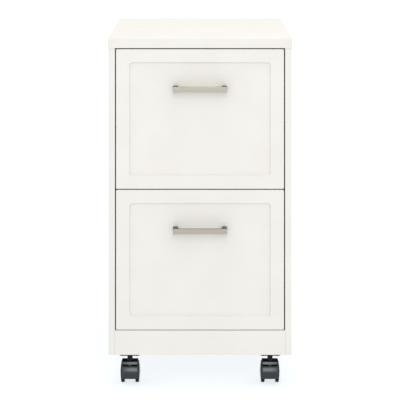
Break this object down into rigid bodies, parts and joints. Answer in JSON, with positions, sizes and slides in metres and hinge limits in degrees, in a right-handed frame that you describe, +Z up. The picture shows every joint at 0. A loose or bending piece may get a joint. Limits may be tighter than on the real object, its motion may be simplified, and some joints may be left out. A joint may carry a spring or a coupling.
{
  "type": "mobile filing cabinet",
  "caption": "Narrow upright steel filing cabinet with stacked drawers on ball-bearing slides, bar handles, panelled fronts and twin-wheel swivel casters.",
  "frame": {"origin": "on the floor, below the middle of the object's box", "axes": "+Z up, -Y is the front where the drawers open, +X on the right of someone facing the drawers"},
  "size_m": [0.362, 0.4796, 0.6866],
  "materials": {
    "powder_coat": "satin warm-white powder coat on sheet steel",
    "brushed_nickel": "brushed nickel plate on a die-cast handle",
    "zinc_plate": "bright zinc plate",
    "black_steel": "black enamelled steel",
    "black_nylon": "gloss black moulded nylon"
  },
  "bodies": {
    "cabinet": {"top_cover": "powder_coat", "side_panel_left": "powder_coat", "side_panel_right": "powder_coat", "back_panel": "powder_coat", "kick_panel": "powder_coat", "floor_panel": "powder_coat", "caster_channel_front": "powder_coat", "caster_channel_rear": "powder_coat", "upright_front_left": "powder_coat", "upright_front_right": "powder_coat", "upright_rear_left": "powder_coat", "upright_rear_right": "powder_coat", "slide_outer_lower_left": "zinc_plate", "slide_outer_lower_right": "zinc_plate", "slide_outer_upper_left": "zinc_plate", "slide_outer_upper_right": "zinc_plate", "caster_plate_front_left": "black_steel", "caster_plate_front_right": "black_steel", "caster_plate_rear_left": "black_steel", "caster_plate_rear_right": "black_steel"},
    "lower_drawer": {"drawer_front_lower": "powder_coat", "front_backing_lower": "powder_coat", "drawer_body_lower": "powder_coat", "drawer_back_lower": "powder_coat", "handle_lower": "brushed_nickel", "handle_screw_lower_left": "zinc_plate", "handle_screw_lower_right": "zinc_plate", "slide_inner_lower_left": "zinc_plate", "slide_inner_lower_right": "zinc_plate"},
    "lower_ball_cages": {"ball_cage_lower_left": "zinc_plate", "ball_cage_lower_right": "zinc_plate"},
    "upper_drawer": {"drawer_front_upper": "powder_coat", "front_backing_upper": "powder_coat", "drawer_body_upper": "powder_coat", "drawer_back_upper": "powder_coat", "handle_upper": "brushed_nickel", "handle_screw_upper_left": "zinc_plate", "handle_screw_upper_right": "zinc_plate", "slide_inner_upper_left": "zinc_plate", "slide_inner_upper_right": "zinc_plate"},
    "upper_ball_cages": {"ball_cage_upper_left": "zinc_plate", "ball_cage_upper_right": "zinc_plate"},
    "swivel_front_left": {"caster_hood_front_left": "black_nylon", "axle_front_left": "zinc_plate"},
    "wheel_front_left_left": {"wheel_front_left_left": "black_nylon"},
    "wheel_front_left_right": {"wheel_front_left_right": "black_nylon"},
    "swivel_front_right": {"caster_hood_front_right": "black_nylon", "axle_front_right": "zinc_plate"},
    "wheel_front_right_left": {"wheel_front_right_left": "black_nylon"},
    "wheel_front_right_right": {"wheel_front_right_right": "black_nylon"},
    "swivel_rear_left": {"caster_hood_rear_left": "black_nylon", "axle_rear_left": "zinc_plate"},
    "wheel_rear_left_left": {"wheel_rear_left_left": "black_nylon"},
    "wheel_rear_left_right": {"wheel_rear_left_right": "black_nylon"},
    "swivel_rear_right": {"caster_hood_rear_right": "black_nylon", "axle_rear_right": "zinc_plate"},
    "wheel_rear_right_left": {"wheel_rear_right_left": "black_nylon"},
    "wheel_rear_right_right": {"wheel_rear_right_right": "black_nylon"}
  },
  "joints": [
    {"name": "lower_drawer_slide", "type": "slide", "parent": "cabinet", "child": "lower_drawer", "axis": [0, -1, 0], "range_m": [0, 0.3062]},
    {"name": "lower_ball_cage_slide", "type": "slide", "parent": "cabinet", "child": "lower_ball_cages", "axis": [0, -1, 0], "range_m": [0, 0.1531]},
    {"name": "upper_drawer_slide", "type": "slide", "parent": "cabinet", "child": "upper_drawer", "axis": [0, -1, 0], "range_m": [0, 0.3062]},
    {"name": "upper_ball_cage_slide", "type": "slide", "parent": "cabinet", "child": "upper_ball_cages", "axis": [0, -1, 0], "range_m": [0, 0.1531]},
    {"name": "swivel_front_left_turn", "type": "hinge", "parent": "cabinet", "child": "swivel_front_left", "pos_m": [-0.1387, -0.1937, 0.0458], "axis": [0, 0, 1], "continuous": true},
    {"name": "wheel_front_left_left_spin", "type": "hinge", "parent": "swivel_front_left", "child": "wheel_front_left_left", "pos_m": [-0.1387, -0.1812, 0.021], "axis": [1, 0, 0], "continuous": true},
    {"name": "wheel_front_left_right_spin", "type": "hinge", "parent": "swivel_front_left", "child": "wheel_front_left_right", "pos_m": [-0.1387, -0.1812, 0.021], "axis": [1, 0, 0], "continuous": true},
    {"name": "swivel_front_right_turn", "type": "hinge", "parent": "cabinet", "child": "swivel_front_right", "pos_m": [0.1387, -0.1937, 0.0458], "axis": [0, 0, 1], "continuous": true},
    {"name": "wheel_front_right_left_spin", "type": "hinge", "parent": "swivel_front_right", "child": "wheel_front_right_left", "pos_m": [0.1387, -0.1812, 0.021], "axis": [1, 0, 0], "continuous": true},
    {"name": "wheel_front_right_right_spin", "type": "hinge", "parent": "swivel_front_right", "child": "wheel_front_right_right", "pos_m": [0.1387, -0.1812, 0.021], "axis": [1, 0, 0], "continuous": true},
    {"name": "swivel_rear_left_turn", "type": "hinge", "parent": "cabinet", "child": "swivel_rear_left", "pos_m": [-0.1387, 0.1958, 0.0458], "axis": [0, 0, 1], "continuous": true},
    {"name": "wheel_rear_left_left_spin", "type": "hinge", "parent": "swivel_rear_left", "child": "wheel_rear_left_left", "pos_m": [-0.1387, 0.2083, 0.021], "axis": [1, 0, 0], "continuous": true},
    {"name": "wheel_rear_left_right_spin", "type": "hinge", "parent": "swivel_rear_left", "child": "wheel_rear_left_right", "pos_m": [-0.1387, 0.2083, 0.021], "axis": [1, 0, 0], "continuous": true},
    {"name": "swivel_rear_right_turn", "type": "hinge", "parent": "cabinet", "child": "swivel_rear_right", "pos_m": [0.1387, 0.1958, 0.0458], "axis": [0, 0, 1], "continuous": true},
    {"name": "wheel_rear_right_left_spin", "type": "hinge", "parent": "swivel_rear_right", "child": "wheel_rear_right_left", "pos_m": [0.1387, 0.2083, 0.021], "axis": [1, 0, 0], "continuous": true},
    {"name": "wheel_rear_right_right_spin", "type": "hinge", "parent": "swivel_rear_right", "child": "wheel_rear_right_right", "pos_m": [0.1387, 0.2083, 0.021], "axis": [1, 0, 0], "continuous": true}
  ],
  "couplings": [
    {"joint": "lower_ball_cage_slide", "follows": "lower_drawer_slide", "ratio": 0.5},
    {"joint": "upper_ball_cage_slide", "follows": "upper_drawer_slide", "ratio": 0.5}
  ]
}
